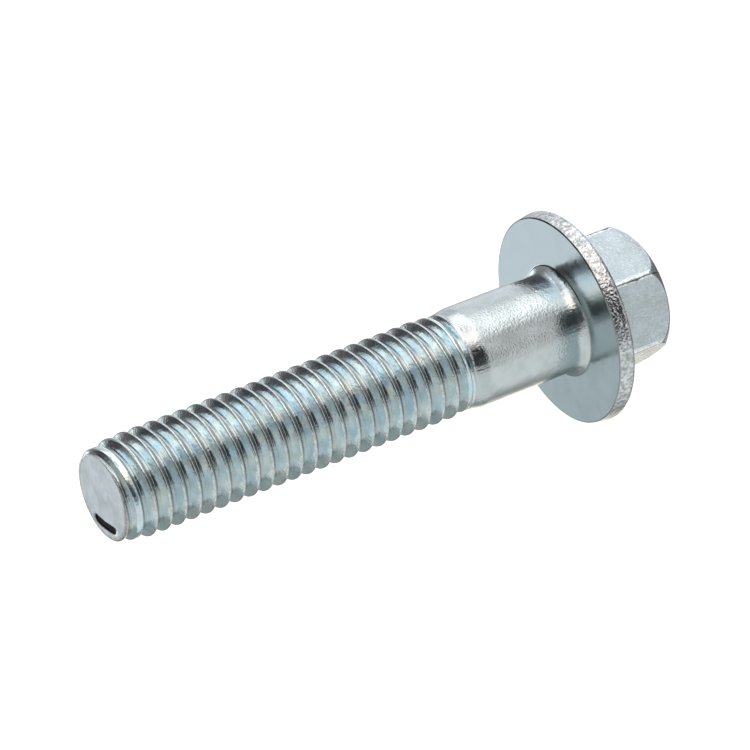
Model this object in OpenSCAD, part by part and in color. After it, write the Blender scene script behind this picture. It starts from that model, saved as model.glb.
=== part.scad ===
// Hexagon flange bolt with a plain shank, M8 x 1.25, 40 mm under the head.
// All sizes are in millimetres.
// Frame: the bolt stands on its head, +Z runs up the axis to the thread end,
// and the origin is at the middle of the head's end face.
// The corners of the hexagon lie at 0, 60, 120 ... degrees from +X.

/* [Head] */
// height of the head, from its end face to the bearing face
head_h = 7.1; // [6.6:0.1:8]
// hexagon across its flats
hex_af = 9.82; // [9.6:0.02:10.2]
// amount by which each forged corner falls short of a sharp one
corner_trim = 0.035; // [0.01:0.005:0.1]
// diameter of the flat end face
end_d = 9.2; // [8.6:0.1:9.4]
// height of the rounded crown, measured at the corners
crown_h = 1.32; // [1:0.02:1.6]
// radius of the crown's arc, seen from the side
crown_r = 2.3; // [2:0.1:4]

/* [Flange] */
// diameter of the flange at the bearing face
face_d = 16.42; // [15.6:0.02:16.6]
// largest diameter of the flange, at the back of its rim
rim_d = 16.86; // [16.7:0.02:17.2]
// height of the rim
rim_h = 1.24; // [1:0.02:1.5]
// radius of the rim's back edge
rim_r = 0.28; // [0.1:0.02:0.4]
// slope of the flange's back, in degrees
cone_angle = 20; // [15:1:28]

/* [Shank] */
// length from the bearing face to the thread end
length = 40.2; // [38:0.1:42]
// diameter of the plain shank
shank_d = 7.94; // [7.9:0.01:8]
// diameter of the edge where the fillet meets the bearing face
fillet_d = 8.9; // [8.5:0.05:9.2]
// height of the fillet along the shank
fillet_h = 1; // [0.7:0.05:1.2]
// length from the bearing face to the end of the plain shank
plain_l = 8.75; // [7:0.05:10]
// length of the tapered shoulder between shank and thread
shoulder_l = 1.05; // [0.8:0.05:1.6]
// diameter of the neck at the small end of the shoulder
neck_d = 7.56; // [7.3:0.02:7.7]
// length of the neck between shoulder and thread
neck_l = 0.2; // [0.1:0.05:0.6]

/* [Thread] */
// pitch of the right-hand thread
pitch = 1.25; // [1:0.05:1.5]
// diameter over the crests
crest_d = 7.92; // [7.8:0.01:7.94]
// depth of the thread
thread_h = 0.73; // [0.6:0.01:0.76]
// share of the pitch taken by the flat crest
crest_share = 0.125; // [0.06:0.005:0.2]
// length over which the groove sinks to its full depth next to the neck
groove_l = 0.3; // [0.2:0.05:0.6]
// length over which the crests rise to their full height next to the neck
fade_l = 1.5; // [1:0.1:3]
// largest diameter at the thread end, where a cone has held the crests back
tip_d = 7; // [6.6:0.02:7.2]
// length of that cone
tip_l = 2.1; // [1.2:0.1:3]
// size of the chamfer that the end's cut leaves on the crests
tip_chamfer = 0.08; // [0.04:0.02:0.2]
// turn of the thread about the axis, in degrees
thread_turn = 257; // [0:1:359]
// facets of the thread for each turn
turn_steps = 48; // [24:4:60]

/* [Hidden] */
// radii and heights that follow from the sizes above
corner_r = hex_af / sqrt(3) - corner_trim;
face_z = head_h;
end_z = face_z + length;
shank_z = face_z + plain_l;
shoulder_z = shank_z + shoulder_l;
neck_z = shoulder_z + neck_l;
shank_r = shank_d / 2;
neck_r = neck_d / 2;

// centre of the crown's arc, which runs from the end face to the corners
crown_a = [end_d / 2, 0];
crown_b = [corner_r, crown_h];
crown_mid = (crown_a + crown_b) / 2;
crown_chord = norm(crown_b - crown_a);
crown_in = [-(crown_b[1] - crown_a[1]), crown_b[0] - crown_a[0]] / crown_chord;
crown_c = crown_mid + crown_in * sqrt(crown_r * crown_r - crown_chord * crown_chord / 4);

// centre of the rounding at the rim's back edge
back_z = face_z - rim_h;
draft = atan((rim_d - face_d) / 2 / rim_h);
rim_in = [-cos(draft), -sin(draft)];
cone_in = [-sin(cone_angle), cos(cone_angle)];
rim_c = [rim_d / 2, back_z] + (rim_in + cone_in) * rim_r / (1 + sin(cone_angle - draft));
rim_p = rim_c - rim_in * rim_r;
cone_p = rim_c - cone_in * rim_r;
// the flange's back is carried inwards to the hexagon's flats, less a little
root_r = hex_af / 2 - 0.4;
root_z = cone_p[1] - (cone_p[0] - root_r) * tan(cone_angle);

// radius of the fillet, which touches the shank and ends on the bearing face
fillet_w = fillet_d / 2 - shank_r;
fillet_r = (fillet_w * fillet_w + fillet_h * fillet_h) / (2 * fillet_w);

// thread form, 60 degrees between the flanks
crest_r = crest_d / 2;
valley_r = crest_r - thread_h;
flank_w = thread_h * tan(30);
crest_w = pitch * crest_share;
valley_w = pitch - crest_w - 2 * flank_w;
form_w = [0, valley_w, valley_w + flank_w, valley_w + flank_w + crest_w];
form_r = [valley_r, valley_r, crest_r, crest_r];
form_n = len(form_w);
form_table = [for (k = [0 : form_n]) [k < form_n ? form_w[k] : pitch, form_r[k % form_n]]];
// way along the thread in which a corner moves down its flank, as its crest is held back
form_side = [0, 0, -1, 1];
// the thread body starts a little inside the shoulder
sunk = 0.3;
low_z = neck_z - sunk;
core_r = neck_r - 0.02;
tip_r = tip_d / 2;
tip_z = end_z - tip_chamfer;
// corners in one column, which starts a turn below the thread body
first_z = low_z - pitch - 0.01;
rows = form_n * ceil((tip_z - low_z) / pitch + 2);

// how far a shape reaches past the edge that it cuts or joins
past = 0.5;

// height of corner j of the full thread form in column c
function full_z(c, j) =
    first_z + pitch * (c / turn_steps + floor(j / form_n)) + form_w[j % form_n];

// share of a whole length that has been passed, from 0 to 1
function grown(along, whole) = max(0, min(1, along / whole));

// largest radius of a crest at height z, between the neck and the end
function crest_limit(z) = min(
    core_r + (crest_r - core_r) * grown(z - neck_z, fade_l),
    tip_r + (crest_r - tip_r) * grown(tip_z - z, tip_l)
);

// radius of corner j where the full form has the height z
function form_radius(j, z) =
    let (full = form_r[j % form_n])
    full > core_r ? min(full, crest_limit(z))
    : core_r + (full - core_r) * grown(z - neck_z, groove_l);

// height of corner j in column c; the corner of a lower crest lies further down its flank
function form_z(c, j) =
    let (z = full_z(c, j), k = j % form_n)
    z + form_side[k] * (form_r[k] - form_radius(j, z)) * tan(30);

// radius at which the thread end cuts the form in column c
function cut_radius(c) =
    let (turns = (tip_z - first_z) / pitch - c / turn_steps)
    min(tip_r, lookup(pitch * (turns - floor(turns)), form_table));

// a point of column c
function turned(c, r, z) =
    [r * cos(360 * c / turn_steps), r * sin(360 * c / turn_steps), z];

// number of the point that stands for corner j in column c; corners beyond an
// end fall on the ring of that end, and the column after the last is the
// first one, a pitch higher
function id(c, j) =
    c == turn_steps ? id(0, j + form_n)
    : form_z(c, j) <= low_z ? c
    : form_z(c, j) >= tip_z ? turn_steps + c
    : 3 * turn_steps + c * rows + j;

// a triangle, or nothing where two of its corners are the same point
function facet(p, q, r) = p == q || q == r || r == p ? [] : [[p, q, r]];

thread_points = concat(
    [for (c = [0 : turn_steps - 1]) turned(c, core_r, low_z)],
    [for (c = [0 : turn_steps - 1]) turned(c, cut_radius(c), tip_z)],
    [for (c = [0 : turn_steps - 1]) turned(c, min(cut_radius(c), tip_r - tip_chamfer), end_z)],
    [for (c = [0 : turn_steps - 1]) for (j = [0 : rows - 1])
        turned(c, form_radius(j, full_z(c, j)), max(low_z, min(tip_z, form_z(c, j))))]
);

thread_faces = concat(
    [[for (c = [0 : turn_steps - 1]) c]],
    [[for (c = [turn_steps - 1 : -1 : 0]) 2 * turn_steps + c]],
    [for (c = [0 : turn_steps - 1]) let (d = (c + 1) % turn_steps)
        [turn_steps + c, 2 * turn_steps + c, 2 * turn_steps + d, turn_steps + d]],
    [for (c = [0 : turn_steps - 1]) for (j = [0 : rows - 1])
        each facet(id(c, j), id(c, j + 1), id(c + 1, j + 1))],
    [for (c = [0 : turn_steps - 1]) for (j = [0 : rows - 1])
        each facet(id(c, j), id(c + 1, j + 1), id(c + 1, j))]
);

// outline of the crown: a box with its lower outer corner rounded by the arc
module crown_outline() {
    difference() {
        square([corner_r, face_z - rim_h / 2]);
        difference() {
            translate([end_d / 2, -past])
                square([corner_r - end_d / 2 + past, crown_h + past]);
            translate(crown_c)
                circle(r = crown_r, $fn = 96);
        }
    }
}

// hexagon with its rounded crown
module hexagon() {
    intersection() {
        cylinder(r = hex_af / sqrt(3), h = face_z - rim_h / 2, $fn = 6);
        rotate_extrude($fn = 96)
            crown_outline();
    }
}

// half outline of the flange, sharp at the back of its rim
module flange_outline() {
    polygon([
        [0, root_z],
        [root_r, root_z],
        cone_p,
        rim_p,
        [face_d / 2, face_z],
        [0, face_z]
    ]);
    translate(rim_c)
        circle(r = rim_r, $fn = 48);
}

// half outline of the plain shank with its fillet and shoulder
module shank_outline() {
    polygon([
        [0, face_z - rim_h / 2],
        [shank_r, face_z - rim_h / 2],
        [shank_r, shank_z],
        [neck_r, shoulder_z],
        [neck_r, neck_z],
        [0, neck_z]
    ]);
    difference() {
        translate([shank_r - past, face_z - past])
            square([fillet_w + past, fillet_h + past]);
        translate([shank_r + fillet_r, face_z + fillet_h])
            circle(r = fillet_r, $fn = 96);
    }
}

// the right-hand thread, one closed body from the shoulder to the end
module thread() {
    rotate([0, 0, thread_turn])
        polyhedron(points = thread_points, faces = thread_faces, convexity = 10);
}

// the whole bolt, one piece
module flange_bolt() {
    color([0.72, 0.77, 0.79]) {
        hexagon();
        rotate_extrude($fn = 96)
            flange_outline();
        rotate_extrude($fn = 96)
            shank_outline();
        thread();
    }
}

flange_bolt();
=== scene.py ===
"""Visual model of a zinc plated hexagon flange bolt, M8 x 1.25, 40 mm under the head.

The bolt stands on its head, its axis along +Z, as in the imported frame. One closed mesh
takes the place of the CAD solid: the head and the shank are turned skins of rings, and
the thread is a helix made by Geometry Nodes. The classes hold their sizes in
millimetres; meshes are made in metres.
"""

import logging
import math
from collections.abc import Sequence
from dataclasses import dataclass, field
from enum import Enum

import bmesh
import bpy
from bpy.types import Camera, Material, Mesh, Node, NodeInputs, NodeOutputs, NodeSocket, NodeTree, Object
from mathutils import Matrix, Quaternion, Vector, noise


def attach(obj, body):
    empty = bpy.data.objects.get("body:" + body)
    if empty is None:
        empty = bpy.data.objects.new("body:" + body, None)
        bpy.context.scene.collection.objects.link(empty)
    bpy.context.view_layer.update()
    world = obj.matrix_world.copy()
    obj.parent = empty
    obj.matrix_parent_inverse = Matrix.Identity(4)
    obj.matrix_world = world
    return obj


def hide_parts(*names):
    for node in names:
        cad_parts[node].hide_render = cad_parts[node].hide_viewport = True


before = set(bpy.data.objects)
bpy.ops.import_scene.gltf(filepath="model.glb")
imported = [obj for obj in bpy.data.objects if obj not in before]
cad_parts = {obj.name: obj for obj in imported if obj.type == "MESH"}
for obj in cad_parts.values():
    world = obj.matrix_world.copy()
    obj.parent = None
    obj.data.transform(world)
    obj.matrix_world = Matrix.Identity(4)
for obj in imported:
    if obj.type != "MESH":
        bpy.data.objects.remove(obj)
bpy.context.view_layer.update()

log = logging.getLogger("bolt")

MM = 0.001
BODY = "root"
NODE = "flange_bolt"

Pair = tuple[float, float]
Point = tuple[float, float, float]
Colour = tuple[float, float, float]
Outline = list[Pair]
Value = NodeSocket | float | int | tuple | Vector

WHITE: Colour = (1.0, 1.0, 1.0)
# degrees from one corner of the hexagon to the next, and a half of them in radians
SIDE = 60
HALF_SIDE = math.radians(SIDE / 2)
# space between nodes in the node editor
NODE_STEP = 180


class Region(Enum):
    """The stretches of the bolt's skin that differ in finish or in painted light and shade."""

    HEX = 0
    RIM = 1
    BEARING = 2
    SHANK = 3
    THREAD = 4
    END = 5
    # painted shade lines along the head's edges and the fillet's step, paler towards one side as painted
    # light
    EDGE = 6
    # painted shade line along the crown's edge, paler towards +X as painted light
    CROWN = 7


# Node trees


class Tree:
    """Adds nodes to one node tree and joins them."""

    def __init__(self, tree: NodeTree) -> None:
        """Starts on an emptied tree.

        Args:
            tree: The node tree to fill.
        """
        self.tree = tree
        tree.nodes.clear()

    def add(self, kind: str, **settings: object) -> Node:
        """Adds a node.

        Args:
            kind: The node's type name.
            **settings: Properties to set on it.

        Returns:
            The new node.
        """
        node = self.tree.nodes.new(kind)
        node.location = (len(self.tree.nodes) * NODE_STEP, 0)
        for name, setting in settings.items():
            setattr(node, name, setting)
        return node

    def feed(self, socket: NodeSocket, value: Value) -> None:
        """Joins a socket to an input, or sets the input's own value.

        Args:
            socket: The input.
            value: A socket to join, or a plain value.
        """
        if isinstance(value, NodeSocket):
            self.tree.links.new(value, socket)
        else:
            socket.default_value = value

    def wire(self, kind: str, inputs: dict[str | int, Value], **settings: object) -> Node:
        """Adds a node and feeds its inputs.

        Args:
            kind: The node's type name.
            inputs: Sockets to join or plain values, by the input's name or number.
            **settings: Properties to set on it.

        Returns:
            The new node.
        """
        node = self.add(kind, **settings)
        for label, value in inputs.items():
            self.feed(node.inputs[label], value)
        return node

    def math(self, operation: str, *values: Value, clamp: bool = False) -> NodeSocket:
        """Adds a Math node, whose result may be kept within 0 and 1."""
        inputs = dict(enumerate(values))
        return self.wire("ShaderNodeMath", inputs, operation=operation, use_clamp=clamp).outputs[0]

    def vector(self, operation: str, *values: Value) -> NodeSocket:
        """Adds a Vector Math node."""
        inputs = dict(enumerate(values))
        return self.result(self.wire("ShaderNodeVectorMath", inputs, operation=operation))

    def ramp(self, values: Sequence[Value], curve: str = "LINEAR") -> NodeSocket:
        """Adds a Map Range node, its inputs in order and its ends held."""
        inputs = dict(enumerate(values))
        return self.wire("ShaderNodeMapRange", inputs, interpolation_type=curve, clamp=True).outputs[0]

    def span(self, value: Value, low: Value, high: Value) -> NodeSocket:
        """Maps low to 0 and high to 1, eased at both ends."""
        return self.ramp((value, low, high, 0.0, 1.0), "SMOOTHSTEP")

    def blend(self, share: Value, low: Value, high: Value) -> NodeSocket:
        """Mixes two colours.

        Args:
            share: How much of the second colour, from 0 to 1.
            low: The first colour.
            high: The second colour.

        Returns:
            The mixed colour.
        """
        node = self.add("ShaderNodeMix", data_type="RGBA")
        sockets = [s for s in node.inputs if s.enabled]
        for socket, part in zip(sockets, (share, self.rgba(low), self.rgba(high))):
            self.feed(socket, part)
        return self.result(node)

    @staticmethod
    def result(node: Node) -> NodeSocket:
        """Gives the first output that the node's settings leave in use."""
        return next(socket for socket in node.outputs if socket.enabled)

    @staticmethod
    def rgba(value: Value) -> Value:
        """Gives a plain colour its fourth number; a socket passes through."""
        return (*value, 1.0) if isinstance(value, tuple) and len(value) == 3 else value


# Shapes


def placed(name: str, data: Mesh | Camera) -> Object:
    """Puts a mesh or a camera into the scene.

    Args:
        name: The new object's name.
        data: What it shows.

    Returns:
        The object, at the origin.
    """
    made = bpy.data.objects.new(name, data)
    bpy.context.scene.collection.objects.link(made)
    return made


def polar(radius: float, angle: float, height: float) -> Point:
    """Gives the point at a distance from the axis and at an angle in degrees."""
    turn = math.radians(angle)
    return (radius * math.cos(turn), radius * math.sin(turn), height)


def arc(centre: Pair, radius: float, start: float, end: float, steps: int) -> Outline:
    """Points along an arc, both ends included.

    Args:
        centre: Its centre, as (radius, height) in mm.
        radius: Its radius in mm.
        start: The first angle in degrees, from the outward direction.
        end: The last angle in degrees.
        steps: The number of steps between them.

    Returns:
        The points as (radius, height) in mm.
    """
    turns = [math.radians(start + (end - start) * k / steps) for k in range(steps + 1)]
    return [(centre[0] + radius * math.cos(t), centre[1] + radius * math.sin(t)) for t in turns]


def stretch(start: Pair, end: Pair, steps: int) -> Outline:
    """Points along a straight line, without its start and with its end."""
    return [tuple(a + (b - a) * k / steps for a, b in zip(start, end)) for k in range(1, steps + 1)]


def bend(start: Pair, knee: Pair, end: Pair, steps: int) -> Outline:
    """Points along a rounded knee, both ends included.

    Args:
        start: Where the rounding begins.
        knee: The sharp corner that it replaces.
        end: Where the rounding ends.
        steps: The number of steps between them.

    Returns:
        The points as (radius, height) in mm.
    """
    points = []
    for k in range(steps + 1):
        t = k / steps
        parts = ((1 - t) ** 2, 2 * t * (1 - t), t * t)
        points.append(tuple(sum(w * p[i] for w, p in zip(parts, (start, knee, end))) for i in (0, 1)))
    return points


class Skin:
    """Collects rings of points and the faces between them."""

    def __init__(self) -> None:
        """Starts with no points and no faces."""
        self.points: list[Point] = []
        self.faces: list[tuple[int, ...]] = []
        self.regions: list[int] = []

    def ring(self, points: Sequence[Point]) -> list[int]:
        """Adds points.

        Args:
            points: The points in mm.

        Returns:
            Their numbers.
        """
        start = len(self.points)
        self.points.extend(points)
        return list(range(start, len(self.points)))

    def face(self, corners: Sequence[int], region: Region) -> None:
        """Adds one face with its finish."""
        self.faces.append(tuple(corners))
        self.regions.append(region.value)

    def band(self, low: list[int], high: list[int], region: Region) -> None:
        """Joins two rings of as many points with quads.

        Args:
            low: The first ring.
            high: The second ring.
            region: The finish of the new faces.
        """
        count = len(low)
        for i in range(count):
            j = (i + 1) % count
            self.face((low[i], low[j], high[j], high[i]), region)

    def fan(self, ring: list[int], centre: Point, region: Region) -> None:
        """Closes a ring with triangles.

        Args:
            ring: The ring.
            centre: The point where the triangles meet, in mm.
            region: The finish of the new faces.
        """
        (tip,) = self.ring([centre])
        for i, corner in enumerate(ring):
            self.face((ring[(i + 1) % len(ring)], corner, tip), region)

    def zip_rings(self, low: list[int], high: list[int], region: Region) -> None:
        """Joins two rings of different counts with triangles.

        Args:
            low: The first ring, its points in order of their angle from +X.
            high: The second ring, in the same order.
            region: The finish of the new faces.
        """
        rings = (low, high)
        turns = []
        for ring in rings:
            found = [math.atan2(self.points[k][1], self.points[k][0]) % math.tau for k in ring]
            turns.append([*found, found[0] + math.tau])
        at = [0, 0]
        while at[0] < len(low) or at[1] < len(high):
            done = [at[s] == len(rings[s]) for s in (0, 1)]
            side = 0 if done[1] or (not done[0] and turns[0][at[0] + 1] <= turns[1][at[1] + 1]) else 1
            here, there = rings[side], rings[1 - side]
            a, b = here[at[side]], here[(at[side] + 1) % len(here)]
            self.face((a, b, there[at[1 - side] % len(there)]), region)
            at[side] += 1

    def mesh(self, name: str) -> Mesh:
        """Makes a mesh in metres from the points in millimetres.

        Args:
            name: The mesh's name.

        Returns:
            The mesh, with each face's finish as its material index.
        """
        mesh = bpy.data.meshes.new(name)
        mesh.from_pydata([Vector(p) * MM for p in self.points], [], self.faces)
        mesh.polygons.foreach_set("material_index", self.regions)
        return mesh


@dataclass
class Head:
    """Hexagon with a rounded crown on a flange with a rough rim."""

    height: float = 7.1
    across_flats: float = 9.82
    corner_round: float = 0.226
    end_radius: float = 4.6
    crown_height: float = 1.32
    crown_arc: float = 2.3
    crown_edge: float = 0.05
    face_radius: float = 8.21
    rim_radius: float = 8.43
    rim_height: float = 1.24
    rim_round: float = 0.28
    rim_wear: float = 0.02
    face_edge: float = 0.09
    back_slope: float = 20.0
    root_round: float = 0.22
    inner_ring: float = 6.6
    columns: int = 120
    # degrees from each corner to the extra columns beside it
    corner_columns: tuple[float, ...] = (0.31, 0.62, 0.92, 1.155, 1.6)
    # radii of the rings on the end face and on the bearing face
    end_rings: tuple[float, ...] = (1.6, 3.2, 4.3)
    bearing_rings: tuple[float, ...] = (8.1, 7.6)
    crown_steps: int = 9
    crown_edge_steps: int = 4
    side_steps: int = 7
    root_steps: int = 6
    back_steps: int = 5
    rounding_steps: int = 7
    # points of the rounding before this one belong to its painted shade line
    dark_steps: int = 4
    rim_steps: int = 9
    lip_steps: int = 3
    # stretch along the axis and scale of the noise that roughens the rim
    wear_squash: float = 0.7
    wear_scale: float = 1.9

    @property
    def corner_reach(self) -> float:
        """Distance of the rounded corners from the axis."""
        sharp = self.across_flats / math.sqrt(3)
        return sharp - self.corner_round * (1 / math.cos(HALF_SIDE) - 1)

    def angles(self) -> list[float]:
        """Angles of the head's columns, closer together at the corners.

        Returns:
            The angles in degrees, in order from +X.
        """
        even = {round(360 * k / self.columns, 6) for k in range(self.columns)}
        near = {
            round((SIDE * corner + side * turn) % 360, 6)
            for corner in range(360 // SIDE)
            for turn in self.corner_columns
            for side in (-1, 1)
        }
        return sorted(even | near)

    def reach(self, angle: float) -> float:
        """Distance of the hexagon's side from the axis.

        Args:
            angle: The direction in degrees.

        Returns:
            The distance in mm, with the corner's rounding.
        """
        off = math.radians(abs((angle + SIDE / 2) % SIDE - SIDE / 2))
        centre = self.across_flats / math.sqrt(3) - self.corner_round / math.cos(HALF_SIDE)
        touch = math.atan2(self.corner_round / 2, centre + self.corner_round * math.cos(HALF_SIDE))
        if off < touch:
            return centre * math.cos(off) + math.sqrt(self.corner_round**2 - (centre * math.sin(off)) ** 2)
        return self.across_flats / 2 / math.cos(HALF_SIDE - off)

    def crown_centre(self) -> Pair:
        """Centre of the crown's arc, which runs from the end face to the corners.

        Returns:
            The centre as (radius, height) in mm.
        """
        run, rise = self.corner_reach - self.end_radius, self.crown_height
        chord = math.hypot(run, rise)
        back = math.sqrt(self.crown_arc**2 - chord**2 / 4) / chord
        return (self.end_radius + run / 2 - rise * back, rise / 2 + run * back)

    def outline(self, reach: float) -> list[tuple[Region, Outline]]:
        """Half outline of the head in a direction where the hexagon has that reach.

        Args:
            reach: Distance of the hexagon's side from the axis in mm.

        Returns:
            Stretches of (radius, height) points from the end face to the bearing face,
            each with its finish.
        """
        cx, cz = self.crown_centre()
        start = math.degrees(math.atan2(-cz, self.end_radius - cx))
        stop = -math.degrees(math.acos((reach - cx) / self.crown_arc))
        lap = math.degrees(self.crown_edge / self.crown_arc)
        edge_z = cz + self.crown_arc * math.sin(math.radians(stop))
        crown = arc((cx, cz), self.crown_arc, start + lap / 2, stop - lap, self.crown_steps)
        edge_top = (reach, edge_z + self.crown_edge)
        edge = bend(crown[-1], (reach, edge_z), edge_top, self.crown_edge_steps)

        slope = math.radians(self.back_slope)
        draft = math.atan2(self.rim_radius - self.face_radius, self.rim_height)
        back_z = self.height - self.rim_height
        rim_in = (-math.cos(draft), -math.sin(draft))
        cone_in = (-math.sin(slope), math.cos(slope))
        scale = self.rim_round / (1 + math.sin(slope - draft))
        middle = (
            self.rim_radius + (rim_in[0] + cone_in[0]) * scale,
            back_z + (rim_in[1] + cone_in[1]) * scale,
        )
        rounding = arc(
            middle, self.rim_round, self.back_slope - 90, math.degrees(draft), self.rounding_steps
        )
        root_z = rounding[0][1] - (rounding[0][0] - reach) * math.tan(slope)
        run = self.root_round
        root_top = (reach + run * math.cos(slope), root_z + run * math.sin(slope))
        root = bend((reach, root_z - run), (reach, root_z), root_top, self.root_steps)
        lip = self.face_edge
        side_top = (self.face_radius + lip * math.tan(draft), self.height - lip)
        lip_end = (self.face_radius - lip, self.height)
        rim_edge = bend(side_top, (self.face_radius, self.height), lip_end, self.lip_steps)
        end_rings = (*self.end_rings, self.end_radius - self.crown_edge)
        return [
            (Region.HEX, [(radius, 0.0) for radius in end_rings]),
            (Region.HEX, crown),
            (Region.CROWN, edge[1:]),
            (Region.HEX, stretch(edge[-1], root[0], self.side_steps)),
            (Region.HEX, root[1:]),
            (Region.HEX, stretch(root[-1], rounding[0], self.back_steps)),
            (Region.EDGE, rounding[1 : self.dark_steps]),
            (Region.RIM, rounding[self.dark_steps :]),
            (Region.RIM, stretch(rounding[-1], side_top, self.rim_steps)),
            (Region.EDGE, rim_edge[1:]),
            (Region.BEARING, [(r, self.height) for r in (*self.bearing_rings, self.inner_ring)]),
        ]

    def wear(self, region: Region, radius: float, angle: float, height: float) -> float:
        """How far a point of the rim lies inside its smooth shape.

        Args:
            region: The point's finish.
            radius: Its distance from the axis in mm.
            angle: Its direction in degrees.
            height: Its height in mm.

        Returns:
            The depth in mm, 0 away from the rim.
        """
        if region is not Region.RIM:
            return 0.0
        spot = Vector(polar(radius, angle, height * self.wear_squash))
        return self.rim_wear * (0.5 + 0.5 * noise.noise(spot * self.wear_scale))

    def build(self, skin: Skin) -> list[int]:
        """Adds the head from the middle of its end face to the bearing face.

        Args:
            skin: The skin to add to.

        Returns:
            The last ring, on the bearing face.
        """
        angles = self.angles()
        last: list[int] = []
        for stretches in zip(*(self.outline(self.reach(angle)) for angle in angles)):
            region = stretches[0][0]
            for row in zip(*(points for _, points in stretches)):
                ring = skin.ring(
                    [
                        polar(radius - self.wear(region, radius, angle, height), angle, height)
                        for angle, (radius, height) in zip(angles, row)
                    ]
                )
                if last:
                    skin.band(last, ring, region)
                else:
                    skin.fan(ring, (0.0, 0.0, 0.0), region)
                last = ring
        return last


@dataclass
class Shank:
    """Fillet, plain shank and tapered shoulder."""

    face_height: float = 7.1
    radius: float = 3.97
    fillet_reach: float = 4.45
    fillet_height: float = 1.0
    fillet_step: float = 0.06
    plain_length: float = 8.75
    shoulder_length: float = 1.05
    neck_radius: float = 3.78
    neck_length: float = 0.2
    shoulder_round: float = 0.2
    hollow_round: float = 0.12
    neck_edge: float = 0.03
    first_ring: float = 6.2
    face_rings: tuple[float, ...] = (5.3, 4.8)
    # rounding of the small step between the bearing face and the fillet
    step_foot: float = 0.05
    step_soft: Pair = (0.02, 0.004)
    step_top: float = 0.008
    fillet_steps: int = 12
    plain_steps: int = 14
    knee_steps: int = 5
    shoulder_steps: int = 5
    hollow_steps: int = 4
    lip_steps: int = 3

    def outline(self, root_radius: float) -> list[tuple[Region, Outline]]:
        """Half outline from the bearing face to the first ring of the thread.

        Args:
            root_radius: Radius at which the thread begins, in mm.

        Returns:
            Stretches of (radius, height) points, each with its finish.
        """
        base = self.face_height
        out = self.fillet_reach - self.radius
        round_radius = (out**2 + self.fillet_height**2) / (2 * out)
        middle = (self.radius + round_radius, base + self.fillet_height)
        low = 180 + math.degrees(math.asin((self.fillet_height - self.fillet_step) / round_radius))
        fillet = arc(middle, round_radius, low, 180, self.fillet_steps)
        face = (self.first_ring, *self.face_rings, self.fillet_reach + self.step_foot)
        soft_out, soft_up = self.step_soft
        foot_top = (self.fillet_reach + soft_out, base + soft_up)
        step = (fillet[0][0] + self.step_top, base + self.fillet_step - self.step_top)
        shoulder = base + self.plain_length
        foot = shoulder + self.shoulder_length
        neck = foot + self.neck_length
        slope = (self.radius - self.neck_radius) / self.shoulder_length
        soft = self.shoulder_round
        knee = bend(
            (self.radius, shoulder - soft),
            (self.radius, shoulder),
            (self.radius - soft * slope, shoulder + soft),
            self.knee_steps,
        )
        tight = self.hollow_round
        hollow = bend(
            (self.neck_radius + tight * slope, foot - tight),
            (self.neck_radius, foot),
            (self.neck_radius, foot + tight),
            self.hollow_steps,
        )
        lip = bend(
            (self.neck_radius, neck - self.neck_edge),
            (self.neck_radius, neck - self.neck_edge / 4),
            (root_radius, neck),
            self.lip_steps,
        )
        return [
            (Region.BEARING, [*((radius, base) for radius in face), foot_top]),
            # the step up to the fillet takes the painted shade line
            (Region.EDGE, [step, fillet[0]]),
            (Region.SHANK, fillet[1:]),
            (Region.SHANK, stretch(fillet[-1], knee[0], self.plain_steps)),
            (Region.SHANK, knee[1:]),
            (Region.SHANK, stretch(knee[-1], hollow[0], self.shoulder_steps)),
            (Region.SHANK, hollow[1:]),
            (Region.SHANK, lip),
        ]

    def build(self, skin: Skin, start: list[int], angles: Sequence[float], root_radius: float) -> None:
        """Adds the shank from the bearing face to the thread.

        Args:
            skin: The skin to add to.
            start: The head's last ring.
            angles: The columns' angles in degrees, those of the thread.
            root_radius: Radius of the thread's first ring in mm.
        """
        last, join = start, skin.zip_rings
        for region, points in self.outline(root_radius):
            for radius, height in points:
                ring = skin.ring([polar(radius, angle, height) for angle in angles])
                join(last, ring, region)
                last, join = ring, skin.band


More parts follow.
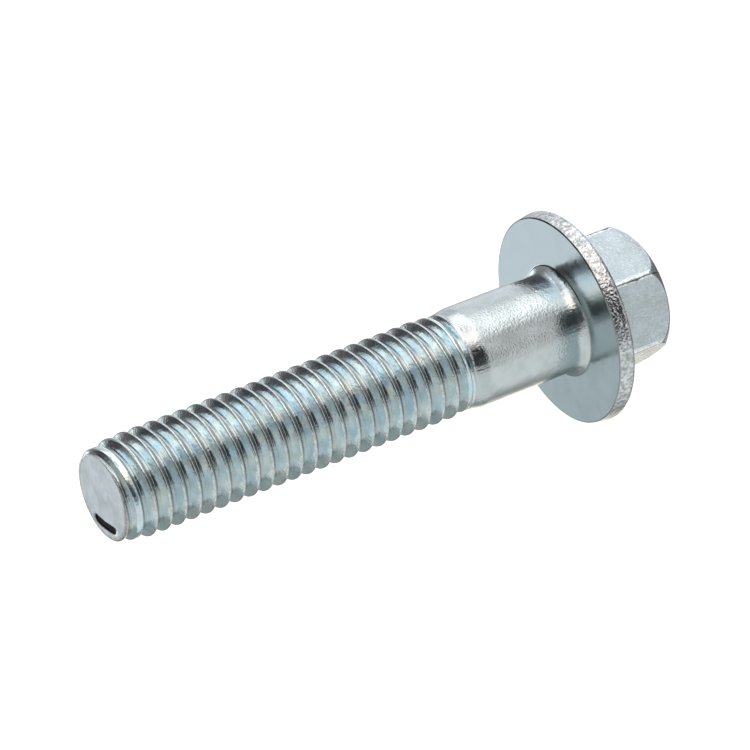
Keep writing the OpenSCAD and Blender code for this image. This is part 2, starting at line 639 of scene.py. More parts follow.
@dataclass
class Thread:
    """Rolled right-hand thread, made by Geometry Nodes as one helix."""

    pitch: float = 1.25
    crest_radius: float = 3.96
    depth: float = 0.73
    crest_share: float = 0.125
    root_radius: float = 3.76
    low: float = 17.1
    groove: float = 0.3
    fade: float = 1.5
    end_radius: float = 3.5
    high: float = 47.22
    end_growth: float = 2.1
    turn: float = 257.0
    # height of a crest's middle in the direction of turn
    crest_height: float = 16.2904
    steps: int = 96
    crest_round: float = 0.12
    wander: float = 0.02
    # share of the depth over which the wandering of the crests sets in
    wander_span: Pair = (0.88, 0.97)
    wander_scale: float = 5.0
    wander_detail: float = 3.0
    wander_rise: float = 400.0
    seed: float = 4.0
    half_angle: float = 30.0
    # directions of the points on the rounded root and crest, in degrees
    root_tilts: tuple[int, ...] = (-60, -30, 0, 30, 60)
    crown_tilts: tuple[int, ...] = (8, 24, 42, 60)
    flank_hold: float = 0.02
    weld: float = 0.0002

    @property
    def steep(self) -> float:
        """Rise of a flank for each step along the axis."""
        return math.tan(math.radians(90 - self.half_angle))

    def form(self) -> list[Point]:
        """One turn of the thread form, from root to root.

        Returns:
            Points as (way along the pitch, height above the root, side) in mm. The side
            tells which flank a point of the crest slides down where the crest is lower:
            the one before it (-1) or the one behind it (1). It is 0 in the groove.
        """
        flank = self.depth / self.steep
        crest = self.pitch * self.crest_share
        valley = self.pitch - crest - 2 * flank
        tangent = math.tan(math.radians(self.half_angle))
        root_round = valley / 2 / tangent
        root = [
            (valley / 2 + root_round * math.sin(tilt), root_round * (1 - math.cos(tilt)))
            for tilt in map(math.radians, self.root_tilts)
        ]
        left, right = valley + flank, valley + flank + crest
        reach = self.crest_round * tangent
        rising = [-tilt for tilt in reversed(self.crown_tilts)]
        crown = [
            (side + self.crest_round * math.sin(tilt), self.depth - self.crest_round * (1 - math.cos(tilt)))
            for side, tilts in ((left + reach, rising), (right - reach, self.crown_tilts))
            for tilt in map(math.radians, tilts)
        ]
        hold, drop = self.flank_hold, self.flank_hold * self.steep
        up = [(root[-1][0] + hold, root[-1][1] + drop), (crown[0][0] - hold, crown[0][1] - drop)]
        down = [
            (crown[-1][0] + hold, crown[-1][1] - drop),
            (root[0][0] + self.pitch - hold, root[0][1] + drop),
        ]
        half = len(crown) // 2
        points = [(*point, 0.0) for point in (*root, up[0])]
        points += [(*point, -1.0) for point in (up[1], *crown[:half])]
        points += [(*point, 1.0) for point in (*crown[half:], down[0])]
        points += [(*down[1], 0.0)]
        first = root[0][0]
        return [(along - first, rise, side) for along, rise, side in points]

    def crest_middle(self) -> float:
        """Way along the pitch from the form's first point to the middle of its crest."""
        highest = sorted(self.form(), key=lambda point: point[1])[-2:]
        return sum(along for along, _, _ in highest) / 2

    def cut_radius(self, angle: float) -> float:
        """Radius of the thread where its end cuts it.

        Args:
            angle: The direction in degrees.

        Returns:
            The radius in mm.
        """
        crest = self.crest_height + self.pitch * (angle - self.turn) / 360
        off = abs((self.high - crest + self.pitch / 2) % self.pitch - self.pitch / 2)
        down = (off - self.pitch * self.crest_share / 2) * self.steep
        lowest = self.crest_radius - self.depth
        return max(lowest, min(self.end_radius, self.crest_radius - down))

    def angles(self) -> list[float]:
        """Angles of the thread's columns.

        Returns:
            The angles in degrees, in order from +X.
        """
        step = 360 / self.steps
        first = self.turn % step
        return [first + step * k for k in range(self.steps)]

    def form_object(self) -> Object:
        """Makes the form as a loose row of points, which the nodes read.

        Returns:
            An object of points, their sides as their third number.
        """
        mesh = bpy.data.meshes.new("thread_form")
        mesh.from_pydata([(along * MM, up * MM, side) for along, up, side in self.form()], [], [])
        return placed("thread_form", mesh)

    def tree(self, sizes: dict[str, object]) -> NodeTree:
        """Makes the node tree that winds the form into the thread.

        Args:
            sizes: The values of its inputs by name, of which only the types are used.

        Returns:
            The tree, with the thread's sizes as named inputs.
        """
        group = bpy.data.node_groups.new("helical_thread", "GeometryNodeTree")
        kinds = {"Form": "NodeSocketObject", "Finish": "NodeSocketMaterial"}
        for name, size in sizes.items():
            plain = "NodeSocketInt" if isinstance(size, int) else "NodeSocketFloat"
            kind = kinds.get(name, plain)
            group.interface.new_socket(name=name, in_out="INPUT", socket_type=kind)
        group.interface.new_socket(name="Geometry", in_out="OUTPUT", socket_type="NodeSocketGeometry")
        t = Tree(group)
        given = t.add("NodeGroupInput").outputs
        low, high, lower, upper = (given[n] for n in ("Low", "High", "Low radius", "High radius"))

        last_row = t.math("SUBTRACT", given["Rows"], 1)
        counts = {"Vertices X": t.math("ADD", given["Steps"], 1), "Vertices Y": given["Rows"]}
        grid = t.wire("GeometryNodeMeshGrid", {"Size X": given["Steps"], "Size Y": last_row, **counts})
        here = t.add("GeometryNodeInputPosition").outputs[0]
        place = t.wire("ShaderNodeSeparateXYZ", {0: here}).outputs
        column = t.math("ROUND", t.math("MULTIPLY_ADD", given["Steps"], 0.5, place["X"]))
        row = t.math("ROUND", t.math("MULTIPLY_ADD", last_row, 0.5, place["Y"]))
        corner = t.math("FLOORED_MODULO", row, given["Form points"])
        lap = t.math("FLOOR", t.math("DIVIDE", row, given["Form points"]))

        form = t.wire("GeometryNodeObjectInfo", {"Object": given["Form"]}).outputs["Geometry"]
        sample = {"Geometry": form, "Value": here, "Index": corner}
        point = t.wire("GeometryNodeSampleIndex", sample, data_type="FLOAT_VECTOR", domain="POINT")
        shape = t.wire("ShaderNodeSeparateXYZ", {0: point.outputs[0]}).outputs
        rise, side = shape["Y"], shape["Z"]

        share = t.math("DIVIDE", column, given["Steps"])
        laps = t.math("MULTIPLY", given["Pitch"], t.math("ADD", share, lap))
        free = t.math("ADD", t.math("ADD", given["First"], laps), shape["X"])
        angle = t.math("ADD", given["Turn"], t.math("MULTIPLY", share, math.tau))
        cosine, sine = t.math("COSINE", angle), t.math("SINE", angle)

        crest = t.math("ADD", given["Root"], given["Depth"])
        begun, left = t.math("SUBTRACT", free, low), t.math("SUBTRACT", high, free)
        limits = []
        for way, run, least in ((begun, given["Fade"], lower), (left, given["Growth"], upper)):
            grown = t.math("DIVIDE", way, run, clamp=True)
            limits.append(t.math("MULTIPLY_ADD", t.math("SUBTRACT", crest, least), grown, least))
        held = t.math("SUBTRACT", crest, t.math("MINIMUM", *limits))
        slope = math.tan(math.radians(self.half_angle))
        slid = t.math("ADD", free, t.math("MULTIPLY", t.math("MULTIPLY", held, side), slope))
        height = t.math("MINIMUM", t.math("MAXIMUM", slid, low), high)

        wave_rise = t.math("MULTIPLY", height, self.wander_rise)
        spot = t.wire("ShaderNodeCombineXYZ", {0: cosine, 1: sine, 2: wave_rise}).outputs[0]
        grain = {"Scale": self.wander_scale, "Detail": self.wander_detail}
        inputs = {"Vector": spot, "W": given["Seed"], **grain}
        wave = t.wire("ShaderNodeTexNoise", inputs, noise_dimensions="4D")
        near_top = t.span(t.math("DIVIDE", rise, given["Depth"]), *self.wander_span)
        drift = t.math("MULTIPLY", t.math("SUBTRACT", wave.outputs[0], 1.0), given["Wander"])
        full = t.math("ADD", given["Root"], rise)
        full = t.math("ADD", full, t.math("MULTIPLY", drift, near_top))

        sunk = t.math("DIVIDE", begun, given["Groove"], clamp=True)
        groove = t.math("MULTIPLY_ADD", t.math("SUBTRACT", full, lower), sunk, lower)
        crown = t.math("SUBTRACT", full, held)
        on_crown = t.math("ABSOLUTE", side)
        radius = t.math("MULTIPLY_ADD", t.math("SUBTRACT", crown, groove), on_crown, groove)

        centre = t.math("ADD", given["First"], given["Middle"])
        centre = t.math("MULTIPLY_ADD", given["Pitch"], share, centre)
        phase = t.math("DIVIDE", t.math("SUBTRACT", high, centre), given["Pitch"])
        off = t.math("ABSOLUTE", t.math("SUBTRACT", phase, t.math("ROUND", phase)))
        down = t.math("MULTIPLY_ADD", given["Crest width"], -0.5, t.math("MULTIPLY", off, given["Pitch"]))
        cut = t.math("MULTIPLY_ADD", down, -self.steep, crest)
        cut = t.math("MAXIMUM", t.math("MINIMUM", cut, upper), given["Root"])
        above, below = t.math("LESS_THAN", high, slid), t.math("LESS_THAN", slid, low)
        for past, held_at in ((above, cut), (below, lower)):
            radius = t.math("MULTIPLY_ADD", t.math("SUBTRACT", held_at, radius), past, radius)

        across, along = t.math("MULTIPLY", radius, cosine), t.math("MULTIPLY", radius, sine)
        spot = t.wire("ShaderNodeCombineXYZ", {0: across, 1: along, 2: height}).outputs[0]
        made = grid.outputs["Mesh"]
        for kind, inputs in (
            ("GeometryNodeSetPosition", {"Position": spot}),
            ("GeometryNodeMergeByDistance", {"Distance": self.weld * MM}),
            ("GeometryNodeRealizeInstances", {}),
            ("GeometryNodeSetMaterial", {"Material": given["Finish"]}),
        ):
            made = t.wire(kind, {"Geometry": made, **inputs}).outputs[0]
        t.wire("NodeGroupOutput", {0: made})
        return group

    def build(self, finish: Material) -> Mesh:
        """Winds the thread and gives it as a plain mesh.

        Args:
            finish: The thread's material.

        Returns:
            The mesh in metres, open at both end rings.
        """
        form, middle = self.form(), self.crest_middle()
        below = math.ceil((self.crest_height - self.low) / self.pitch + 2)
        first = self.crest_height - middle - below * self.pitch
        laps = math.ceil((self.high - first) / self.pitch + 1)
        lengths = {
            "Pitch": self.pitch,
            "Root": self.crest_radius - self.depth,
            "Depth": self.depth,
            "First": first,
            "Low": self.low,
            "Low radius": self.root_radius,
            "Groove": self.groove,
            "Fade": self.fade,
            "High": self.high,
            "High radius": self.end_radius,
            "Growth": self.end_growth,
            "Middle": middle,
            "Crest width": self.pitch * self.crest_share,
            "Wander": self.wander,
        }
        sizes = {
            "Form": self.form_object(),
            "Form points": len(form),
            "Steps": self.steps,
            "Rows": laps * len(form),
            "Turn": math.radians(self.turn),
            "Seed": self.seed,
            "Finish": finish,
            **{name: length * MM for name, length in lengths.items()},
        }
        holder = placed("thread_work", bpy.data.meshes.new("thread_work"))
        modifier = holder.modifiers.new("thread", "NODES")
        modifier.node_group = self.tree(sizes)
        for item in modifier.node_group.interface.items_tree:
            if item.in_out == "INPUT":
                modifier[item.identifier] = sizes[item.name]
        bpy.context.view_layer.update()
        depsgraph = bpy.context.evaluated_depsgraph_get()
        mesh = bpy.data.meshes.new_from_object(holder.evaluated_get(depsgraph), depsgraph=depsgraph)
        holder.modifiers.remove(modifier)
        for spent in (sizes["Form"], holder):
            bpy.data.objects.remove(spent)
        mesh.polygons.foreach_set("material_index", [Region.THREAD.value] * len(mesh.polygons))
        return mesh


@dataclass
class ThreadEnd:
    """Chamfer and end face of the thread, with the mark left where it was cut off."""

    chamfer: float = 0.08
    height: float = 47.2999
    mark_turn: float = 257.75
    mark_offset: float = 2.33
    mark_middle: float = -0.015
    mark_length: float = 1.52
    mark_width: float = 0.32
    mark_bow: float = 0.13
    mark_depth: float = 0.07
    mark_soft: float = 0.07
    edge_out: float = 0.01
    edge_drop: float = 0.012
    edge_in: float = 0.02
    disc_inset: float = 0.09
    rows: int = 18
    row_step: float = 0.08
    inner_rings: tuple[float, ...] = (1.1, 0.5)

    def sink(self, x: float, y: float) -> float:
        """Depth of the cut-off mark below the end face.

        Args:
            x: Place on the face in mm.
            y: Place on the face in mm.

        Returns:
            The depth in mm.
        """
        turn = math.radians(self.mark_turn)
        along = x * math.cos(turn) + y * math.sin(turn) - self.mark_middle
        bow = self.mark_bow * (1 - (along / self.mark_length) ** 2)
        across = x * math.sin(turn) - y * math.cos(turn) - self.mark_offset - bow
        beyond = max(0.0, abs(along) - self.mark_length + self.mark_width)
        inside = (self.mark_width - math.hypot(across, beyond)) / self.mark_soft + 0.5
        return self.mark_depth * min(1.0, max(0.0, inside))

    def build(self, skin: Skin, thread: Thread) -> None:
        """Adds the chamfer and the face, closed in its middle.

        Args:
            skin: The skin to add to.
            thread: The thread that the end closes.
        """
        flat = thread.end_radius - self.chamfer
        disc = thread.crest_radius - thread.depth - self.disc_inset
        inward = [disc - self.row_step * k for k in range(self.rows + 1)]
        columns = []
        for angle in thread.angles():
            cut = thread.cut_radius(angle)
            edge = min(cut, flat)
            column = [
                polar(cut, angle, thread.high),
                polar(edge + self.edge_out, angle, self.height - self.edge_drop),
            ]
            for radius in (edge - self.edge_in, (edge + disc) / 2, *inward, *self.inner_rings):
                x, y, _ = polar(radius, angle, 0.0)
                column.append((x, y, self.height - self.sink(x, y)))
            columns.append(column)
        last: list[int] = []
        for row in zip(*columns):
            ring = skin.ring(row)
            if last:
                skin.band(last, ring, Region.END)
            last = ring
        skin.fan(last, (0.0, 0.0, self.height), Region.END)


# Finishes


def effect_group(
    name: str, inputs: Sequence[str], outputs: Sequence[str]
) -> tuple[Tree, NodeOutputs, NodeInputs]:
    """Starts a shared shader node group.

    Args:
        name: The group's name.
        inputs: Its inputs' names, of which Vector is a vector and all others are numbers.
        outputs: Its outputs' names, all numbers.

    Returns:
        The tree, the outputs of its input node and the inputs of its output node.
    """
    group = bpy.data.node_groups.new(name, "ShaderNodeTree")
    for labels, way in ((inputs, "INPUT"), (outputs, "OUTPUT")):
        for label in labels:
            kind = "NodeSocketVector" if label == "Vector" else "NodeSocketFloat"
            group.interface.new_socket(name=label, in_out=way, socket_type=kind)
    tree = Tree(group)
    return tree, tree.add("NodeGroupInput").outputs, tree.add("NodeGroupOutput").inputs


def cloud(tree: Tree, where: Value, scale: Value, detail: float) -> NodeSocket:
    """Adds a Noise Texture and gives its value."""
    inputs = {"Vector": where, "Scale": scale, "Detail": detail}
    return tree.wire("ShaderNodeTexNoise", inputs).outputs[0]


@dataclass(frozen=True)
class Effects:
    """The node groups that the finishes share. They work on places in millimetres."""

    grain_detail: float = 2.0
    cell_scale: float = 0.8
    cell_share: float = 0.6
    patch_scale: float = 0.9
    patch_detail: float = 4.0
    patch_span: Pair = (0.38, 0.62)
    # turn of each lay of scratches, and its scale along the three axes
    scratch_lays: tuple[tuple[float, Point], ...] = ((0.3, (14.0, 14.0, 1.6)), (0.9, (3.0, 3.0, 16.0)))
    scratch_lean: Point = (0.2, 0.25, 1.0)
    scratch_scale: float = 1.1
    scratch_detail: float = 2.0
    scratch_span: Pair = (0.52, 0.72)
    streak_squash: Point = (1.0, 1.0, 0.12)
    streak_detail: float = 3.0
    tint_detail: float = 4.0
    tint_span: Pair = (0.35, 0.65)
    pit_span: Pair = (0.16, 0.07)
    pit_least: float = 0.86

    def grain(self) -> NodeTree:
        """Makes the fine grain of the plated skin.

        Returns:
            A group that gives a height and a mask of the rougher patches.
        """
        t, given, out = effect_group("plating_grain", ("Vector", "Size"), ("Height", "Patches"))
        scale = t.math("DIVIDE", 1.0, given["Size"])
        fine = cloud(t, given["Vector"], scale, self.grain_detail)
        inputs = {"Vector": given["Vector"], "Scale": t.math("MULTIPLY", scale, self.cell_scale)}
        cells = t.wire("ShaderNodeTexVoronoi", inputs, feature="SMOOTH_F1").outputs["Distance"]
        t.feed(out["Height"], t.math("ADD", fine, t.math("MULTIPLY", cells, self.cell_share)))
        patches = cloud(t, given["Vector"], self.patch_scale, self.patch_detail)
        t.feed(out["Patches"], t.span(patches, *self.patch_span))
        return t.tree

    def scratches(self) -> NodeTree:
        """Makes the fine crossed scratches of a tumbled surface.

        Returns:
            A group that gives their height.
        """
        t, given, out = effect_group("fine_scratches", ("Vector",), ("Height",))
        total: Value = 0.0
        for turn, squeeze in self.scratch_lays:
            lean = tuple(turn * part for part in self.scratch_lean)
            inputs = {"Vector": given["Vector"], "Rotation": lean, "Scale": squeeze}
            lay = t.wire("ShaderNodeMapping", inputs).outputs[0]
            line = cloud(t, lay, self.scratch_scale, self.scratch_detail)
            total = t.math("ADD", total, t.span(line, *self.scratch_span))
        t.feed(out["Height"], total)
        return t.tree

    def streaks(self) -> NodeTree:
        """Makes streaks along the bolt's axis.

        Returns:
            A group that gives their height.
        """
        t, given, out = effect_group("axial_streaks", ("Vector", "Size"), ("Height",))
        lay = t.vector("MULTIPLY", given["Vector"], self.streak_squash)
        scale = t.math("DIVIDE", 1.0, given["Size"])
        t.feed(out["Height"], cloud(t, lay, scale, self.streak_detail))
        return t.tree

    def tint(self) -> NodeTree:
        """Makes the slow change of the passivated zinc's tint.

        Returns:
            A group that gives it as a share.
        """
        t, given, out = effect_group("passivation_tint", ("Vector", "Size"), ("Share",))
        scale = t.math("DIVIDE", 1.0, given["Size"])
        t.feed(out["Share"], t.span(cloud(t, given["Vector"], scale, self.tint_detail), *self.tint_span))
        return t.tree

    def pits(self) -> NodeTree:
        """Makes sparse tiny pits.

        Returns:
            A group that gives their mask.
        """
        t, given, out = effect_group("tiny_pits", ("Vector", "Size"), ("Mask",))
        inputs = {"Vector": given["Vector"], "Scale": t.math("DIVIDE", 1.0, given["Size"])}
        cells = t.wire("ShaderNodeTexVoronoi", inputs).outputs
        pick = t.wire("ShaderNodeSeparateColor", {0: cells["Color"]}).outputs[0]
        chosen = t.math("GREATER_THAN", pick, self.pit_least)
        t.feed(out["Mask"], t.math("MULTIPLY", t.span(cells["Distance"], *self.pit_span), chosen))
        return t.tree

    def build(self) -> dict[str, NodeTree]:
        """Makes all groups, by the names that the finishes use."""
        makers = (self.grain, self.scratches, self.streaks, self.tint, self.pits)
        return {maker.__name__: maker() for maker in makers}


@dataclass(frozen=True)
class ZincFinish:
    """Zinc plating on one stretch of the bolt. Lengths are in millimetres."""

    name: str
    pale: Colour
    deep: Colour
    smooth: float
    rough: float
    tint_size: float = 1.5
    grain_size: float = 0.14
    grain_depth: float = 0.004
    scratch_depth: float = 0.0
    streak_size: float = 0.0
    streak_depth: float = 0.0
    pits: float = 0.0
    stain: Colour | None = None
    stain_size: float = 0.8
    stain_share: float = 0.5
    # painted shadow in the cut-off mark on the end face, with a dimmer reflection
    mark_shadow_below: float = 0.0
    mark_shadow_inside: float = 3.08
    mark_shadow_step: float = 0.03
    mark_shadow: Colour = (0.01, 0.01, 0.009)
    mark_shadow_glint: Colour = (0.6, 0.6, 0.6)
    # colour of a band by its distance from the axis: stain on the thread's crests and the end's rim, painted
    # highlight on the hexagon's corners
    crest_from: float = 0.0
    crest_to: float = 99.0
    crest_step: float = 0.05
    crest_stain_and_highlight: Colour = (0.44, 0.44, 0.42)
    # cover of the crests: how far it varies, and the least of it
    crest_share: Pair = (0.6, 0.2)
    crest_spot_size: float = 0.4
    # painted shade in the thread's valleys
    valley_shade_below: float = 0.0
    valley_shade_step: float = 0.1
    valley_shade_share: float = 0.6
    valley: Colour = (0.24, 0.26, 0.26)
    # painted light: the colour turns paler towards one side, where the light falls
    painted_light_side: float | None = None
    painted_light: Colour = (0.42, 0.44, 0.43)
    painted_light_span: Pair = (-0.1, 0.25)
    # painted shade: a dark broken line beside each corner of the hexagon
    corner_shade_share: float = 0.0
    corner_shade: Colour = (0.05, 0.05, 0.05)
    # scale, detail and reach of the noise that breaks up the painted shade line beside the corners
    corner_shade_breakup: Point = (1.3, 3.0, 0.07)
    corner_shade_span: Pair = (1.008, 1.016)
    corner_shade_end: float = 0.992
    scratch_gain: float = 1.4
    scratch_share: float = 0.6
    pit_depth: float = -0.02
    pit_shade: float = 0.35
    pit_share: float = 0.7

    def material(self, groups: dict[str, NodeTree]) -> Material:
        """Makes the material.

        Args:
            groups: The shared effects by name.

        Returns:
            The material, on Object coordinates.
        """
        made = bpy.data.materials.new(self.name)
        made.use_nodes = True
        t = Tree(made.node_tree)
        where = t.add("ShaderNodeTexCoord").outputs["Object"]
        inputs = {"Vector": where, "Scale": 1 / MM}
        spot = t.wire("ShaderNodeVectorMath", inputs, operation="SCALE").outputs[0]
        shader = t.wire("ShaderNodeBsdfPrincipled", {"Metallic": 1.0})

        def effect(name: str, **values: Value) -> NodeOutputs:
            """Adds one of the shared groups at this material's place."""
            return t.wire("ShaderNodeGroup", {"Vector": spot, **values}, node_tree=groups[name]).outputs

        def outward() -> NodeSocket:
            """Adds the way from the bolt's axis to the place."""
            return t.vector("MULTIPLY", spot, (1.0, 1.0, 0.0))

        grain = effect("grain", Size=self.grain_size)
        tint = effect("tint", Size=self.tint_size)["Share"]
        colour = t.blend(tint, self.pale, self.deep)
        height = t.math("MULTIPLY", grain["Height"], self.grain_depth)
        if self.scratch_depth:
            lines = effect("scratches")["Height"]
            height = t.math("MULTIPLY_ADD", lines, self.scratch_depth, height)
            share = t.math("MULTIPLY", lines, self.scratch_share, clamp=True)
            colour = t.blend(share, colour, tuple(self.scratch_gain * c for c in self.pale))
        if self.streak_size:
            streaks = effect("streaks", Size=self.streak_size)["Height"]
            height = t.math("MULTIPLY_ADD", streaks, self.streak_depth, height)
        if self.stain:
            spots = effect("tint", Size=self.stain_size)["Share"]
            colour = t.blend(t.math("MULTIPLY", spots, self.stain_share), colour, self.stain)
        # Painted shadow in the cut-off mark: dark below the end face near the axis, with a dimmer
        # reflection.
        if self.mark_shadow_below:
            level = t.wire("ShaderNodeSeparateXYZ", {0: spot}).outputs["Z"]
            low = t.span(level, self.mark_shadow_below, self.mark_shadow_below - self.mark_shadow_step)
            inside = t.math("LESS_THAN", t.vector("LENGTH", outward()), self.mark_shadow_inside)
            share = t.math("MULTIPLY", low, inside)
            colour = t.blend(share, colour, self.mark_shadow)
            t.feed(shader.inputs["Specular Tint"], t.blend(share, WHITE, self.mark_shadow_glint))
        # Colours a band by its distance from the axis: stain on the thread's crests and the end's rim, a
        # painted highlight on the hexagon's rounded corners.
        if self.crest_from:
            crest_spots = effect("tint", Size=self.stain_size * self.crest_spot_size)["Share"]
            reach = t.vector("LENGTH", outward())
            crest = t.span(reach, self.crest_from, self.crest_from + self.crest_step)
            within = t.math("LESS_THAN", reach, self.crest_to)
            share = t.math("MULTIPLY", t.math("MULTIPLY_ADD", crest_spots, *self.crest_share), within)
            colour = t.blend(t.math("MULTIPLY", crest, share), colour, self.crest_stain_and_highlight)
        # Painted shade in the thread's valleys, where the flanks keep the light out.
        if self.valley_shade_below:
            reach = t.vector("LENGTH", outward())
            deep = t.span(reach, self.valley_shade_below, self.valley_shade_below - self.valley_shade_step)
            colour = t.blend(t.math("MULTIPLY", deep, self.valley_shade_share), colour, self.valley)
        # Painted light: paler towards one side, where the light falls.
        if self.painted_light_side is not None:
            lean = t.vector("DOT_PRODUCT", t.vector("NORMALIZE", outward()), polar(1.0, self.painted_light_side, 0.0))
            colour = t.blend(t.span(lean, *self.painted_light_span), colour, self.painted_light)
        # Painted shade: a dark broken line beside each corner of the hexagon.
        if self.corner_shade_share:
            place = t.wire("ShaderNodeSeparateXYZ", {0: spot}).outputs
            half_sides = 180 / SIDE
            turn = t.math("ARCTAN2", place["Y"], place["X"])
            off = t.math("FRACT", t.math("MULTIPLY_ADD", turn, half_sides / math.pi, half_sides))
            scale, detail, wander = self.corner_shade_breakup
            line_breakup = t.math("MULTIPLY", cloud(t, spot, scale, detail), wander)
            from_line = t.span(t.math("ADD", off, line_breakup), *self.corner_shade_span)
            line = t.math("MULTIPLY", from_line, t.math("LESS_THAN", off, self.corner_shade_end))
            colour = t.blend(t.math("MULTIPLY", line, self.corner_shade_share), colour, self.corner_shade)
        if self.pits:
            pits = effect("pits", Size=self.pits)["Mask"]
            height = t.math("MULTIPLY_ADD", pits, self.pit_depth, height)
            dark = tuple(self.pit_shade * c for c in self.deep)
            colour = t.blend(t.math("MULTIPLY", pits, self.pit_share), colour, dark)
        inputs = {"Strength": 1.0, "Distance": MM, "Height": height}
        bump = t.wire("ShaderNodeBump", inputs).outputs[0]
        rough = t.ramp((grain["Patches"], 0.0, 1.0, self.smooth, self.rough))
        for label, value in (("Base Color", colour), ("Roughness", rough), ("Normal", bump)):
            t.feed(shader.inputs[label], value)
        t.wire("ShaderNodeOutputMaterial", {0: shader.outputs[0]})
        return made


FINISHES: dict[Region, ZincFinish] = {
    Region.HEX: ZincFinish(
        "tumbled_zinc", (0.50, 0.57, 0.60), (0.44, 0.49, 0.505), 0.2, 0.28,
        # painted shade: a dark line beside each corner
        grain_size=0.2, grain_depth=0.004, scratch_depth=0.007, pits=0.7, corner_shade_share=0.85,
        # the band from 5.5 to 5.75 mm paints a highlight along the rounded corners
        crest_from=5.5, crest_to=5.75, crest_stain_and_highlight=(0.95, 0.97, 0.98),
    ),
    Region.RIM: ZincFinish(
        "sheared_zinc", (0.66, 0.68, 0.70), (0.34, 0.35, 0.355), 0.06, 0.16,
        tint_size=0.32, grain_size=0.18, grain_depth=0.05, pits=0.3,
    ),
    # the bearing face has a painted reflection: paler towards 20 degrees
    Region.BEARING: ZincFinish(
        "pressed_zinc", (0.50, 0.58, 0.60), (0.43, 0.51, 0.53), 0.15, 0.22,
        tint_size=4.0, grain_size=0.35, grain_depth=0.004, painted_light_side=20.0,
        painted_light=(0.72, 0.81, 0.85), painted_light_span=(-0.6, 0.6),
    ),
    Region.SHANK: ZincFinish(
        "drawn_zinc", (0.55, 0.59, 0.60), (0.47, 0.51, 0.51), 0.13, 0.21,
        grain_size=0.15, grain_depth=0.014, streak_size=0.5, streak_depth=0.03,
    ),
    # the thread's finish paints shade into its valleys
    Region.THREAD: ZincFinish(
        "rolled_zinc", (0.70, 0.77, 0.77), (0.54, 0.68, 0.75), 0.14, 0.24,
        grain_size=0.2, grain_depth=0.014, stain=(0.50, 0.46, 0.38), stain_share=0.25,
        crest_from=3.84, valley_shade_below=3.36,
    ),
    # the end's finish paints a shadow into the cut-off mark
    Region.END: ZincFinish(
        "cut_zinc", (0.67, 0.73, 0.77), (0.61, 0.67, 0.70), 0.28, 0.4,
        grain_size=0.25, grain_depth=0.006, stain=(0.4, 0.35, 0.3), stain_size=0.5,
        stain_share=0.2, mark_shadow_below=47.29, crest_from=3.1, crest_stain_and_highlight=(0.36, 0.33, 0.29),
    ),
    # painted shade along the edges, with painted light towards -150 degrees
    Region.EDGE: ZincFinish(
        "edge_painted_shade", (0.03, 0.03, 0.03), (0.16, 0.16, 0.15), 0.3, 0.45,
        tint_size=1.2, grain_size=0.2, grain_depth=0.02, painted_light_side=-150.0,
    ),
    # painted shade along the crown's edge, with painted light towards +X
    Region.CROWN: ZincFinish(
        "crown_painted_shade", (0.08, 0.09, 0.09), (0.22, 0.24, 0.24), 0.3, 0.4,
        tint_size=1.2, grain_size=0.2, grain_depth=0.006, painted_light_side=0.0,
        painted_light=(0.60, 0.67, 0.70),
    ),
}


@dataclass
class Bolt:
    """The whole bolt: head, shank, thread and thread end in one closed skin."""

    head: Head = field(default_factory=Head)
    shank: Shank = field(default_factory=Shank)
    thread: Thread = field(default_factory=Thread)
    end: ThreadEnd = field(default_factory=ThreadEnd)
    crease: float = 34.0
    weld: float = 0.0003
    least_edge: float = 0.00001

    def build(self) -> Object:

        """Builds the parts, welds them and dresses the result.

        Returns:
            The bolt's object, at the origin.
        """
        groups = Effects().build()
        materials = [FINISHES[region].material(groups) for region in Region]
        skin = Skin()
        face_ring = self.head.build(skin)
        log.info("head: %d points", len(skin.points))
        angles = self.thread.angles()
        self.shank.build(skin, face_ring, angles, self.thread.root_radius)
        log.info("head and shank: %d points", len(skin.points))
        self.end.build(skin, self.thread)
        turned = skin.mesh("turned_parts")
        wound = self.thread.build(materials[Region.THREAD.value])
        log.info("thread: %d points", len(wound.vertices))

        shape = bmesh.new()
        for mesh in (turned, wound):
            shape.from_mesh(mesh)
            bpy.data.meshes.remove(mesh)
        bmesh.ops.remove_doubles(shape, verts=shape.verts, dist=self.weld * MM)
        bmesh.ops.dissolve_degenerate(shape, dist=self.least_edge * MM, edges=shape.edges)
        bmesh.ops.recalc_face_normals(shape, faces=shape.faces)
        open_edges = sum(1 for edge in shape.edges if len(edge.link_faces) != 2)
        log.info("bolt: %d faces, %d open edges", len(shape.faces), open_edges)
        for face in shape.faces:
            face.smooth = True
        mesh = bpy.data.meshes.new("bolt")
        shape.to_mesh(mesh)
        shape.free()
        for material in materials:
            mesh.materials.append(material)
        mesh.set_sharp_from_angle(angle=math.radians(self.crease))
        return placed("bolt", mesh)


# Studio


def directions(azimuth: float, elevation: float, tilt: float) -> tuple[Vector, Vector, Vector]:
    """Gives the three directions of a camera or a panel.

    Args:
        azimuth: Where it stands, seen from the bolt, in degrees from +X.
        elevation: How high it stands, in degrees.
        tilt: Its turn about the line to the bolt, in degrees.

    Returns:
        The directions out of its back, to its right and to its top.
    """
    rise = math.radians(elevation)
    front = Vector(polar(math.cos(rise), azimuth, math.sin(rise)))
    side = Vector(polar(1.0, azimuth + 90, 0.0))
    side.rotate(Quaternion(front, math.radians(tilt)))
    return front, side, front.cross(side)


